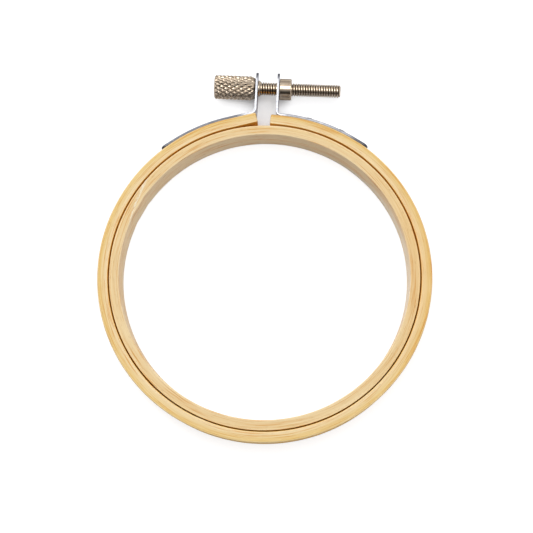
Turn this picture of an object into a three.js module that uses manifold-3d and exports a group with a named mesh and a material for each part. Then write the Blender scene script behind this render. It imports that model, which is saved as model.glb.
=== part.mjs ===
// Embroidery hoop: a thumb screw draws a split outer ring of bent bamboo together round a closed
// inner ring. Millimetres. The hoop lies on its back face, +Z is up out of its front face, and +Y
// runs from the hoop's centre to the clamp.

import * as THREE from "three";
import { mergeVertices } from "three/addons/utils/BufferGeometryUtils.js";
import Module from "manifold-3d";

const wasm = await Module();
wasm.setup();

// The two wooden rings
const hoopDiameter = 100;
const ringHeight = 9;
const outerWall = 3.2;
const innerWall = 3;
const ringGap = 0.4;
const edgeRound = 0.4;
const leftOpening = 2.3; // from the hoop's middle to the outer ring's left end, inside its wall
const rightOpening = 1.9;
const leftFlat = 9; // straight stretch at the outer ring's left end
const rightFlat = 4.5;
const flexSlit = 0.3; // opposite the clamp, where the bending of the outer ring is gathered

// The steel brackets on the outer ring
const sheet = 0.7;
const stripWidth = 7.8;
const stripAngle = 33; // from the middle of the opening to where a strip stops following the ring
const tailFlat = 5; // straight stretch at a strip's tail, which stands off the ring a little
const tailCorner = 1.6;
const leftBend = 1.8; // radius at the middle of the sheet, where the strip turns up into its ear
const rightBend = 1.2;
const earSpan = 6; // clear space between the ears
const earReach = 5; // from the screw's axis to an ear's tip
const seat = 0.1; // gap where two pieces rest on each other

// The screw, its collar and its nut
const screwStandoff = 10.2; // from the outside of the outer ring to the screw's axis
const clampShift = 1; // sideways, from the middle of the opening to the middle of the clamp
const clampSkew = 2.8; // degrees by which the screw points down to the right
const threadDiameter = 4;
const threadPitch = 0.794;
const threadDepth = 0.4;
const threadReach = 15.4; // beyond the nut
const tipChamfer = 0.5;
const knobDiameter = 7.5;
const knobLength = 12.9;
const knobChamfer = 0.5;
const knobTaper = 1.5; // length of the plain cone between the knurl and the left ear
const knobTaperDrop = 0.8; // how much smaller the radius is at the cone's end
const knurlStarts = 18; // diamonds round the knob
const knurlRows = 10; // half diamonds along the knob
const knurlDepth = 0.3;
const neckClearance = 0.15; // between the neck and the hole in the left ear
const collarLength = 0.7;
const collarRim = 0.25; // length of the collar's widest part, beside the ear
const collarFlare = 0.5; // how far that part stands out from the screw
const collarLip = 0.12; // wall at the collar's narrow end
const collarClearance = 0.05;
const nutDiameter = 6.6;
const nutLength = 3.7;
const nutRound = 0.2;
const nutClearance = 0.28; // between the thread and the nut's bore
const spigotWall = 0.4; // the nut's short spigot through the right ear

// The brads
const bradAngles = [16, 28]; // from the middle of the opening, in degrees
const bradDiameter = 1;
const bradDepth = 2.6; // into the wood
const bradPoint = 0.8;
const bradHeadDiameter = 2.6;
const bradHeadHeight = 0.5;
const bradHeadRim = 0.25; // height of the head's straight rim
const bradHeadTop = 1.3; // width of the flat on top of the head
const leftBradRise = 0; // of the left strip's brads above the middle of the ring's height
const rightBradRise = 2;
const bradClearance = 0.08;

// How finely round shapes are cut into flats
const ringSteps = 96;
const roundSteps = 2;
const bendSteps = 6;
const turnedSteps = 32;
const threadSides = 16;
const holeSteps = 24;
const cornerSteps = 3;

const cutMargin = 1; // how far a cutting body stands out of what it cuts

const outerRadius = hoopDiameter / 2;
const outerInside = outerRadius - outerWall;
const innerRadius = outerInside - ringGap;
const innerInside = innerRadius - innerWall;
const middleHeight = ringHeight / 2;
const stripInside = outerRadius + seat;
const stripMiddle = stripInside + sheet / 2;
const earMiddle = (earSpan + sheet) / 2;
const threadRadius = threadDiameter / 2;
const knobRadius = knobDiameter / 2;
const boreRadius = threadRadius + nutClearance;
const spigotRadius = boreRadius + spigotWall;

// Places along the screw, from the middle between the ears
const earOutside = earSpan / 2 + sheet;
const headFace = -(earOutside + seat);
const collarStart = -(earSpan / 2 - seat);
const collarEnd = collarStart + collarLength;
const nutStart = earOutside + seat;
const nutEnd = nutStart + nutLength;
const screwTip = nutEnd + threadReach;

const skew = THREE.MathUtils.degToRad(clampSkew);
const clampMiddle = new THREE.Vector2(clampShift, outerRadius + screwStandoff);

const leftSide = {
  name: "left",
  sign: -1,
  opening: leftOpening,
  flat: leftFlat,
  bend: leftBend,
  bradHeight: middleHeight + leftBradRise,
  earHole: threadRadius + neckClearance,
};
const rightSide = {
  name: "right",
  sign: 1,
  opening: rightOpening,
  flat: rightFlat,
  bend: rightBend,
  bradHeight: middleHeight + rightBradRise,
  earHole: spigotRadius + seat,
};

const outerBamboo = { color: 0xe8c888, roughness: 0.55, metalness: 0 };
const innerBamboo = { color: 0xe4c796, roughness: 0.55, metalness: 0 };
const zincPlate = { color: 0xb9bcc4, roughness: 0.35, metalness: 1 };
const nickelPlate = { color: 0xa89e8c, roughness: 0.3, metalness: 1 };

// A closed geometry as a solid that can be cut and joined.
function toSolid(geometry) {
  const bare = geometry.clone();
  bare.deleteAttribute("normal");
  bare.deleteAttribute("uv");
  const merged = mergeVertices(bare, 1e-4);
  return new wasm.Manifold(
    new wasm.Mesh({
      numProp: 3,
      vertProperties: merged.attributes.position.array,
      triVerts: new Uint32Array(merged.index.array),
    }),
  );
}

function toGeometry(solid) {
  const mesh = solid.getMesh();
  const geometry = new THREE.BufferGeometry();
  geometry.setAttribute("position", new THREE.BufferAttribute(mesh.vertProperties, 3));
  geometry.setIndex(new THREE.BufferAttribute(mesh.triVerts, 1));
  geometry.computeVertexNormals();
  return geometry;
}

function namedMesh(name, geometry, finish) {
  const mesh = new THREE.Mesh(geometry, new THREE.MeshStandardMaterial(finish));
  mesh.name = name;
  return mesh;
}

// A point at a distance from the hoop's centre, at an angle from +Y towards +X.
function polar(distance, angle) {
  return new THREE.Vector2(distance * Math.sin(angle), distance * Math.cos(angle));
}

function mirrored(points, sign) {
  return points.map((point) => new THREE.Vector2(sign * point.x, point.y));
}

// A body turned about the x axis, from [place along the axis, radius] pairs.
function turned(profile) {
  const points = profile.map(([along, radius]) => new THREE.Vector2(radius, along));
  return new THREE.LatheGeometry(points, turnedSteps).rotateZ(-Math.PI / 2);
}

// The room for one brad, pointing at the hoop's axis from "from" to "to", for cutting a hole.
function bradRoom(side, from, to, angle) {
  const radius = bradDiameter / 2 + bradClearance;
  const pin = new THREE.CylinderGeometry(radius, radius, to - from, holeSteps);
  pin.translate(0, (from + to) / 2, 0).rotateZ(-angle);
  return toSolid(pin.translate(0, 0, side.bradHeight));
}

function bradAnglesOn(side) {
  return bradAngles.map((angle) => side.sign * THREE.MathUtils.degToRad(angle));
}

// The angle at which the ring's arc gives way to the straight stretch at its end.
function flatAngle(side) {
  const middle = outerRadius - outerWall / 2;
  const lean = Math.asin(side.opening / Math.hypot(middle, side.flat));
  return lean + Math.atan2(side.flat, middle);
}

function innerRing() {
  const round = Math.min(edgeRound, innerWall / 2, ringHeight / 2);
  const profile = new THREE.Shape();
  profile.absarc(innerRadius - round, round, round, -Math.PI / 2, 0, false);
  profile.absarc(innerRadius - round, ringHeight - round, round, 0, Math.PI / 2, false);
  profile.absarc(innerInside + round, ringHeight - round, round, Math.PI / 2, Math.PI, false);
  profile.absarc(innerInside + round, round, round, Math.PI, 1.5 * Math.PI, false);
  profile.closePath();
  const geometry = new THREE.LatheGeometry(profile.getPoints(roundSteps / 2), ringSteps);
  return namedMesh("inner_ring", geometry.rotateX(Math.PI / 2), innerBamboo);
}

function outerRingHalf(side) {
  const angle = flatAngle(side);
  const along = polar(side.flat, angle - Math.PI / 2);
  const outerCorner = polar(outerRadius, angle).add(along);
  const innerCorner = polar(outerInside, angle).add(along);
  const arcEnd = Math.PI / 2 - angle;
  const outline = new THREE.Path();
  outline.absarc(0, 0, outerRadius, -Math.acos(flexSlit / 2 / outerRadius), arcEnd, false);
  outline.lineTo(outerCorner.x, outerCorner.y);
  outline.lineTo(innerCorner.x, innerCorner.y);
  outline.absarc(0, 0, outerInside, arcEnd, -Math.acos(flexSlit / 2 / outerInside), true);
  const round = Math.min(edgeRound, outerWall / 2, ringHeight / 2);
  const block = new THREE.ExtrudeGeometry(
    new THREE.Shape(mirrored(outline.getPoints(ringSteps / 4), side.sign)),
    {
      depth: ringHeight - 2 * round,
      bevelThickness: round,
      bevelSize: round,
      bevelOffset: -round,
      bevelSegments: roundSteps,
    },
  );
  let solid = toSolid(block.translate(0, 0, round));
  for (const pinAngle of bradAnglesOn(side)) {
    const bottom = outerRadius - bradDepth - bradClearance;
    solid = solid.subtract(bradRoom(side, bottom, outerRadius + cutMargin, pinAngle));
  }
  return namedMesh("outer_ring_" + side.name, toGeometry(solid), outerBamboo);
}

// Where a bracket's ear crosses the screw's axis, and which way it points. Both brackets are laid
// out on the right, so the left one is mirrored afterwards.
function earPlace(side) {
  const along = new THREE.Vector2(Math.cos(skew), -Math.sin(skew));
  const place = clampMiddle.clone().addScaledVector(along, side.sign * earMiddle);
  const up = new THREE.Vector2(side.sign * Math.sin(skew), Math.cos(skew));
  return { place: new THREE.Vector2(side.sign * place.x, place.y), up };
}

// The middle line of a bracket's sheet, with its outward normals: round the ring from the tail,
// along the straight end, through the bend and up to the ear's tip.
function bracketLine(side) {
  const tail = THREE.MathUtils.degToRad(stripAngle);
  const angle = flatAngle(side);
  const arcSteps = Math.ceil((ringSteps * (tail - angle)) / (2 * Math.PI));
  const away = polar(tailFlat, tail + Math.PI / 2);
  const line = [{ point: polar(stripMiddle, tail).add(away), normal: polar(1, tail) }];
  for (let step = 0; step <= arcSteps; step++) {
    const turn = THREE.MathUtils.lerp(tail, angle, step / arcSteps);
    line.push({ point: polar(stripMiddle, turn), normal: polar(1, turn) });
  }
  const ear = earPlace(side);
  const inward = polar(1, angle - Math.PI / 2);
  const outward = polar(1, angle);
  const start = polar(stripMiddle, angle);
  const rise = outward.dot(ear.place.clone().sub(start)) / outward.dot(ear.up);
  const corner = ear.place.clone().addScaledVector(ear.up, -rise);
  const turn = Math.acos(inward.dot(ear.up));
  const tangent = side.bend * Math.tan(turn / 2);
  const centre = corner.clone().addScaledVector(inward, -tangent);
  centre.addScaledVector(outward, side.bend);
  for (let step = 0; step <= bendSteps; step++) {
    const normal = polar(1, angle + (turn * step) / bendSteps);
    line.push({ point: centre.clone().addScaledVector(normal, -side.bend), normal });
  }
  const tip = ear.place.clone().addScaledVector(ear.up, earReach);
  line.push({ point: tip, normal: line.at(-1).normal });
  return line;
}

// Rounds the two corners at the square end of a strip: a block with a notch of that form, whose
// middle is at the strip's end and which points along the strip.
function endRounder(tip, direction, corner) {
  const half = stripWidth / 2;
  const notch = new THREE.Shape();
  notch.moveTo(-corner, -half - cutMargin);
  notch.lineTo(cutMargin, -half - cutMargin);
  notch.lineTo(cutMargin, half + cutMargin);
  notch.lineTo(-corner, half + cutMargin);
  notch.absarc(-corner, half - corner, corner, Math.PI / 2, 0, true);
  notch.absarc(-corner, corner - half, corner, 0, -Math.PI / 2, true);
  const thickness = sheet + 2 * cutMargin;
  const block = new THREE.ExtrudeGeometry(notch, {
    depth: thickness,
    curveSegments: cornerSteps,
    bevelEnabled: false,
  });
  block.translate(0, 0, -thickness / 2);
  const forward = new THREE.Vector3(direction.x, direction.y, 0);
  const up = new THREE.Vector3(0, 0, 1);
  const turn = new THREE.Matrix4().makeBasis(forward, up, forward.clone().cross(up));
  block.applyMatrix4(turn.setPosition(tip.x, tip.y, middleHeight));
  return toSolid(block);
}

function bracket(side) {
  const line = bracketLine(side);
  const edge = (shift) => line.map(({ point, normal }) => point.clone().addScaledVector(normal, shift));
  const outline = [...edge(sheet / 2), ...edge(-sheet / 2).reverse()];
  const strip = new THREE.ExtrudeGeometry(new THREE.Shape(mirrored(outline, side.sign)), {
    depth: stripWidth,
    bevelEnabled: false,
  });
  let solid = toSolid(strip.translate(0, 0, middleHeight - stripWidth / 2));

  const ear = earPlace(side);
  const [tip] = mirrored([line.at(-1).point], side.sign);
  const [tail] = mirrored([line[0].point], side.sign);
  const [up] = mirrored([ear.up], side.sign);
  const [away] = mirrored([polar(1, THREE.MathUtils.degToRad(stripAngle) + Math.PI / 2)], side.sign);
  solid = solid.subtract(endRounder(tip, up, stripWidth / 2));
  solid = solid.subtract(endRounder(tail, away, tailCorner));

  const depth = sheet + 2 * cutMargin;
  const hole = new THREE.CylinderGeometry(side.earHole, side.earHole, depth, holeSteps);
  hole.rotateZ(-Math.PI / 2 - skew);
  const [place] = mirrored([ear.place], side.sign);
  solid = solid.subtract(toSolid(hole.translate(place.x, place.y, middleHeight)));
  const inside = stripInside - cutMargin;
  const outside = stripInside + sheet + cutMargin;
  for (const angle of bradAnglesOn(side)) {
    solid = solid.subtract(bradRoom(side, inside, outside, angle));
  }
  return namedMesh(side.name + "_bracket", toGeometry(solid), zincPlate);
}

// A brad lies along the x axis, with the underside of its head at the origin, and is then turned
// to point at the hoop's centre.
function brads(side) {
  const headFoot = stripInside + sheet + seat;
  const tip = outerRadius - bradDepth - headFoot;
  const shank = bradDiameter / 2;
  const head = bradHeadDiameter / 2;
  const geometry = turned([
    [tip, 0],
    [tip + bradPoint, shank],
    [0, shank],
    [0, head],
    [bradHeadRim, head],
    [bradHeadHeight, bradHeadTop / 2],
    [bradHeadHeight, 0],
  ]);
  return bradAnglesOn(side).map((angle, index) => {
    const brad = namedMesh(side.name + "_brad_" + (index + 1), geometry, zincPlate);
    const place = polar(headFoot, angle);
    brad.position.set(place.x, place.y, side.bradHeight);
    brad.rotation.z = Math.PI / 2 - angle;
    return brad;
  });
}

// A sleeve of points round the x axis, closed by a fan at each end. Column after column goes once
// round, and the last column meets the first one "rise" rows further on.
function sleeve(rows, columns, rise, pointAt) {
  const positions = [];
  for (let row = 0; row <= rows; row++) {
    for (let column = 0; column < columns; column++) {
      const { along, radius } = pointAt(row, column);
      const angle = (2 * Math.PI * column) / columns;
      positions.push(along, radius * Math.cos(angle), radius * Math.sin(angle));
    }
  }
  const last = rows * columns;
  const at = (row, column) =>
    column < columns ? row * columns + column : (row + rise) * columns;
  const faces = [];
  for (let column = 0; column < columns; column++) {
    const rowsHere = column < columns - 1 ? rows : rows - rise;
    for (let row = 0; row < rowsHere; row++) {
      const corners = [at(row, column), at(row + 1, column), at(row + 1, column + 1), at(row, column + 1)];
      faces.push(corners[0], corners[2], corners[1], corners[0], corners[3], corners[2]);
    }
  }
  const start = [];
  const end = [];
  for (let column = 0; column < columns; column++) {
    start.push(column);
    end.push(last + column);
  }
  for (let step = rise; step > 0; step--) {
    start.push(step * columns);
    end.push(last + columns - 1 - (rise - step + 1) * columns);
  }
  const middle = (loop) => loop.reduce((sum, index) => sum + positions[3 * index], 0) / loop.length;
  const hubs = [positions.length / 3, positions.length / 3 + 1];
  positions.push(middle(start), 0, 0, middle(end), 0, 0);
  start.forEach((index, step) => faces.push(hubs[0], start[(step + 1) % start.length], index));
  end.forEach((index, step) => faces.push(hubs[1], index, end[(step + 1) % end.length]));
  const geometry = new THREE.BufferGeometry();
  geometry.setAttribute("position", new THREE.Float32BufferAttribute(positions, 3));
  geometry.setIndex(faces);
  return geometry;
}

// A right-hand V thread: rows of crests and roots by turns, each column a little further along.
function thread() {
  const spareTurns = 2;
  const turns = Math.ceil((screwTip - collarEnd) / threadPitch) + spareTurns;
  const rod = sleeve(2 * turns, threadSides, 2, (row, column) => ({
    along: collarEnd + (row / 2 + column / threadSides - 1) * threadPitch,
    radius: threadRadius - (row % 2) * threadDepth,
  }));
  const envelope = turned([
    [collarEnd, 0],
    [collarEnd, threadRadius + cutMargin],
    [screwTip - tipChamfer, threadRadius + cutMargin],
    [screwTip - tipChamfer, threadRadius],
    [screwTip, threadRadius - tipChamfer],
    [screwTip, 0],
  ]);
  return toSolid(rod).intersect(toSolid(envelope));
}

// Diamond knurling: peaks and hollows by turns, both round the knob and along it.
function knurl(from, to) {
  const sides = 2 * knurlStarts;
  return toSolid(
    sleeve(knurlRows, sides, 0, (row, column) => ({
      along: THREE.MathUtils.lerp(from, to, row / knurlRows),
      radius: knobRadius - ((row + column) % 2) * knurlDepth,
    })),
  );
}

function thumbScrew() {
  const knobEnd = headFace - knobLength;
  const knurlStart = knobEnd + knobChamfer;
  const knurlEnd = headFace - knobTaper;
  const core = knobRadius - knurlDepth;
  const body = turned([
    [knobEnd, 0],
    [knobEnd, core - knobChamfer],
    [knurlStart, core],
    [knurlEnd, core],
    [headFace, knobRadius - knobTaperDrop],
    [headFace, threadRadius],
    [collarEnd + threadPitch / 2, threadRadius],
    [collarEnd + threadPitch, threadRadius - threadDepth],
    [collarEnd + threadPitch, 0],
  ]);
  const solid = toSolid(body).add(knurl(knurlStart, knurlEnd)).add(thread());
  return namedMesh("thumb_screw", toGeometry(solid), nickelPlate);
}

function retainingCollar() {
  const bore = threadRadius + collarClearance;
  const geometry = turned([
    [collarStart, bore],
    [collarStart, threadRadius + collarFlare],
    [collarStart + collarRim, threadRadius + collarFlare],
    [collarEnd, bore + collarLip],
    [collarEnd, bore],
    [collarStart, bore],
  ]);
  return namedMesh("retaining_collar", geometry, nickelPlate);
}

function clampNut() {
  const radius = nutDiameter / 2;
  const geometry = turned([
    [earSpan / 2, boreRadius],
    [earSpan / 2, spigotRadius],
    [nutStart, spigotRadius],
    [nutStart, radius - nutRound],
    [nutStart + nutRound, radius],
    [nutEnd - nutRound, radius],
    [nutEnd, radius - nutRound],
    [nutEnd, boreRadius],
    [earSpan / 2, boreRadius],
  ]);
  return namedMesh("clamp_nut", geometry, nickelPlate);
}

const hoop = new THREE.Group();
hoop.add(innerRing());
for (const side of [leftSide, rightSide]) {
  hoop.add(outerRingHalf(side), bracket(side), ...brads(side));
}

// The screw and what is on it are laid out along x, from the middle between the ears.
const clamp = new THREE.Group();
clamp.position.set(clampMiddle.x, clampMiddle.y, middleHeight);
clamp.rotation.z = -skew;
clamp.add(thumbScrew(), retainingCollar(), clampNut());
hoop.add(clamp);

// The origin is under the middle of the whole object, on the line from the hoop's centre to the
// middle of its opening.
const extent = new THREE.Box3().setFromObject(hoop, true);
hoop.position.y = -(extent.min.y + extent.max.y) / 2;

export default hoop;
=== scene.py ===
"""Embroidery hoop: two bamboo rings, the outer one split and drawn together by a knurled thumb screw
between two zinc-plated ears. The shapes are worked out in millimetres from the hoop's centre, where
+Y runs to the clamp and +Z out of the front face, and put into the frame in metres."""

import math

import bmesh
import bpy
import numpy as np
from mathutils import Matrix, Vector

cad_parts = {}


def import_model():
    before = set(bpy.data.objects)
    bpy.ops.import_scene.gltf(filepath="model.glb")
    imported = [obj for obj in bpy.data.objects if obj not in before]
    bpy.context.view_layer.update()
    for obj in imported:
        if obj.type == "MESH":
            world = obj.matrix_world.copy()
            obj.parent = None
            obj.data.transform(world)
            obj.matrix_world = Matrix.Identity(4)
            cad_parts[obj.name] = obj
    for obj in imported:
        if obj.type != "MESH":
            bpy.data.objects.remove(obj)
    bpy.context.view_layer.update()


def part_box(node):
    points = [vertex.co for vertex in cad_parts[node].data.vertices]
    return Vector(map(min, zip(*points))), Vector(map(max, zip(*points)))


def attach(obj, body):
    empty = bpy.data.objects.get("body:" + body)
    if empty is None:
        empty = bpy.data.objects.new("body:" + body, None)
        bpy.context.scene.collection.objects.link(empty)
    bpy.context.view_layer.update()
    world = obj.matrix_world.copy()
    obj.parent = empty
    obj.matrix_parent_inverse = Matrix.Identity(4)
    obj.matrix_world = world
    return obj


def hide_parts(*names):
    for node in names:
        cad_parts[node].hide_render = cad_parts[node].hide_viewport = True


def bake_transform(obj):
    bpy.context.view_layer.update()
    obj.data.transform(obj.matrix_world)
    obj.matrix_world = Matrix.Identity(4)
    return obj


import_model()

# One millimetre in the frame's metres
MM = 0.001

# Sizes in millimetres from here on. The rings: their edges are rounded, and the outer one has a straight
# stretch at each end by its opening.
RING_HEIGHT = 9.0
MIDDLE_HEIGHT = RING_HEIGHT / 2
OUTER_RADIUS = 50.0
OUTER_WALL = 3.2
INNER_RADIUS = 46.4
INNER_WALL = 3.0
EDGE_ROUND = 0.4
SHARP_ROUND = 0.2
LEFT_OPENING, RIGHT_OPENING = 2.3, 1.9
LEFT_FLAT, RIGHT_FLAT = 9.0, 4.5

# How far the rings' sides are off true: a ripple on the side away from the other ring, one on the side
# towards it, and a change of the gap that swings round the hoop from where the rings press on each other
FREE_RIPPLE = 0.03
FACING_RIPPLE = 0.015
GAP_CHANGE, GAP_SWING = 0.02, 0.045
PRESSED_AT = math.radians(175)
RIPPLE_JOIN = 12.0
RING_ROWS = 900

# The glued joint of the inner ring: where it starts, measured from +Y, how far it runs on, and where and
# how deep it is shaved, with a fade at both ends
SCARF_START = math.radians(-50)
SCARF_LENGTH = 14.0
SCARF_CORNERS = (-0.6, 5.3, 12.3, 19.5)
SHAVE_DEPTH = 0.16
SHAVE_FADE = 3.0

# The brackets: a strip round the ring, a bend and an ear
SHEET = 0.7
SEAT = 0.1
STRIP_MIDDLE = OUTER_RADIUS + SEAT + SHEET / 2
STRIP_WIDTH = 7.8
STRIP_ANGLE = math.radians(33)
TAIL_FLAT = 5.0
TAIL_CORNER = 1.6
LEFT_BEND, RIGHT_BEND = 1.8, 1.2
EAR_SPAN = 6.0
EAR_REACH = 5.0
LEFT_EAR_HOLE, RIGHT_EAR_HOLE = 2.15, 2.78
CUT_EDGE_ROUND = 0.22
DENT_DEPTH = 0.07
DENT_REACH = 1.7

# The screw's axis: where it crosses the middle between the ears, and how far it is turned off +X
CLAMP = (1.0, 60.2)
SKEW = math.radians(2.8)

# The screw, its collar and its nut, along that axis
THREAD_RADIUS = 2.0
THREAD_PITCH = 0.794
THREAD_DEPTH = 0.46
SCREW_TIP = 22.9
TIP_CHAMFER = 0.5
KNOB_RADIUS = 3.75
KNOB_END, HEAD_FACE = -16.7, -3.8
KNOB_CHAMFER = 0.35
KNOB_TAPER, KNOB_TAPER_DROP = 1.5, 0.8
KNURL_STARTS = 18
KNURL_LENGTHS = 5
KNURL_DEPTH = 0.36
COLLAR_START, COLLAR_END = -2.9, -2.2
COLLAR_BORE = 2.05
COLLAR_WIDE, COLLAR_NARROW = 2.5, 2.17
COLLAR_RIM = 0.25
NUT_START, NUT_END = 3.8, 7.5
NUT_RADIUS = 3.3
NUT_BORE = 2.28
NUT_BEVEL = 0.22
NUT_GROOVE = 0.2
SPIGOT_RADIUS = 2.68

# The brads, with their places in degrees from +Y
BRAD_ANGLES = (16, 28)
LEFT_BRAD_HEIGHT, RIGHT_BRAD_HEIGHT = 4.5, 6.5
BRAD_HEAD_RADIUS = 1.3
BRAD_HEAD_HEIGHT = 0.5
BRAD_RIM_HEIGHT = 0.28
BRAD_DEPTH = 2.6
BRAD_SHANK = 0.5
BRAD_POINT = 0.8
BRAD_BEVEL = 0.05
BRAD_DINT = 0.05

# The floor: half its width, and how far it lies below the hoop
FLOOR_HALF = 3000.0
FLOOR_DROP = 0.02

# How far the room's dark side is turned from the near side towards the left
ROOM_TURN = math.radians(18)

# The camera: its film's width, the picture's width and the focal length in pixels, the place that it looks
# at, its distance from there, and how far it leans off the vertical and stands round from the near side
FILM = 36
PICTURE_PIXELS = 533
FOCAL_PIXELS = 975
LOOKED_AT = (0.52, 3.84, 0)
CAMERA_DISTANCE = 300.0
CAMERA_LEAN = math.radians(12.43)
CAMERA_ROUND = math.radians(5.8)

ring_low, ring_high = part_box("inner_ring")
HOOP_CENTRE = np.array([0.0, (ring_low.y + ring_high.y) / 2 / MM, 0.0])


# Materials


class Value:
    """A socket of a node tree, on which Python's operators add Math nodes."""

    def __init__(self, nodes, socket):
        self.nodes = nodes
        self.socket = socket

    def math(self, operation, *others):
        inputs = {0: self, **dict(enumerate(others, 1))}
        return self.nodes.node("ShaderNodeMath", {"operation": operation}, inputs)

    def __add__(self, other):
        return self.math("ADD", other)

    def __sub__(self, other):
        return self.math("SUBTRACT", other)

    def __rsub__(self, other):
        return self * -1 + other

    def __mul__(self, other):
        return self.math("MULTIPLY", other)

    def __truediv__(self, other):
        return self.math("DIVIDE", other)

    __radd__ = __add__
    __rmul__ = __mul__

    def between(self, low, high):
        """0 at low, 1 at high, held outside them, and smooth in between."""
        settings = {"interpolation_type": "SMOOTHSTEP"}
        return self.nodes.node("ShaderNodeMapRange", settings, {0: self, 1: low, 2: high})


class Nodes:
    """A node tree, whose nodes are made by node() and the helpers on it."""

    def __init__(self, tree):
        self.tree = tree

    def node(self, kind, settings=None, inputs=None, output=0):
        made = self.tree.nodes.new(kind)
        for name, value in (settings or {}).items():
            if name == "stops":
                self.set_stops(made.color_ramp.elements, value)
            else:
                setattr(made, name, value)
        for key, value in (inputs or {}).items():
            if isinstance(value, Value):
                self.tree.links.new(value.socket, made.inputs[key])
            else:
                made.inputs[key].default_value = value
        return Value(self, made.outputs[output])

    @staticmethod
    def set_stops(elements, stops):
        while len(elements) < len(stops):
            elements.new(1.0)
        for element, (position, colour) in zip(elements, stops):
            element.position = position
            element.color = (*colour, 1.0)

    def mix(self, share, first, second, blend="MIX"):
        """first where share is 0 and second where it is 1, as colours."""
        settings = {"data_type": "RGBA", "blend_type": blend}
        first, second = (value if isinstance(value, Value) else (*value, 1.0) for value in (first, second))
        return self.node("ShaderNodeMix", settings, {0: share, 6: first, 7: second}, output=2)

    def ramp(self, value, stops):
        return self.node("ShaderNodeValToRGB", {"stops": stops}, {0: value})

    def noise(self, place, scale, detail=2.0, rough=0.5):
        inputs = {"Vector": place, "Scale": scale, "Detail": detail, "Roughness": rough}
        return self.node("ShaderNodeTexNoise", {}, inputs)

    def parts(self, vector):
        first = self.node("ShaderNodeSeparateXYZ", {}, {0: vector})
        outputs = first.socket.node.outputs
        return [Value(self, outputs[axis]) for axis in range(3)]

    def vector(self, x, y, z):
        return self.node("ShaderNodeCombineXYZ", {}, {0: x, 1: y, 2: z})

    def stretched(self, place, scale, moved=(0, 0, 0)):
        scaled = self.node("ShaderNodeVectorMath", {"operation": "MULTIPLY"}, {0: place, 1: scale})
        return self.node("ShaderNodeVectorMath", {"operation": "ADD"}, {0: scaled, 1: moved})


class Finish(Nodes):
    """A material with one principled shader."""

    def __init__(self, name, **constants):
        self.material = bpy.data.materials.new(name)
        self.material.use_nodes = True
        super().__init__(self.material.node_tree)
        self.shader = self.tree.nodes["Principled BSDF"]
        for socket, value in constants.items():
            self.shader.inputs[socket.replace("_", " ")].default_value = value

    def feed(self, **sockets):
        for socket, value in sockets.items():
            self.tree.links.new(value.socket, self.shader.inputs[socket.replace("_", " ")])

    def object_place(self):
        return self.node("ShaderNodeTexCoord", output=3)

    def attribute(self, name):
        """A vector that the mesh holds, and its three parts."""
        whole = self.node("ShaderNodeAttribute", {"attribute_name": name}, output=1)
        return whole, *self.parts(whole)

    def bump(self, height, distance, strength, normal=None):
        inputs = {"Height": height, "Distance": distance, "Strength": strength}
        if normal is not None:
            inputs["Normal"] = normal
        return self.node("ShaderNodeBump", {}, inputs)


def srgb(red, green, blue):
    """A colour as a screen shows it, 0 to 255, as linear light."""
    part = np.array([red, green, blue]) / 255
    return tuple(np.where(part <= 0.04045, part / 12.92, ((part + 0.055) / 1.055) ** 2.4))


def near(along, stretch):
    """1 at the middle of a stretch, given as its middle and reach in millimetres, and 0 at its ends."""
    middle, reach = stretch
    return ((along - middle) / reach).math("ABSOLUTE").between(1.0, 0.0)


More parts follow.
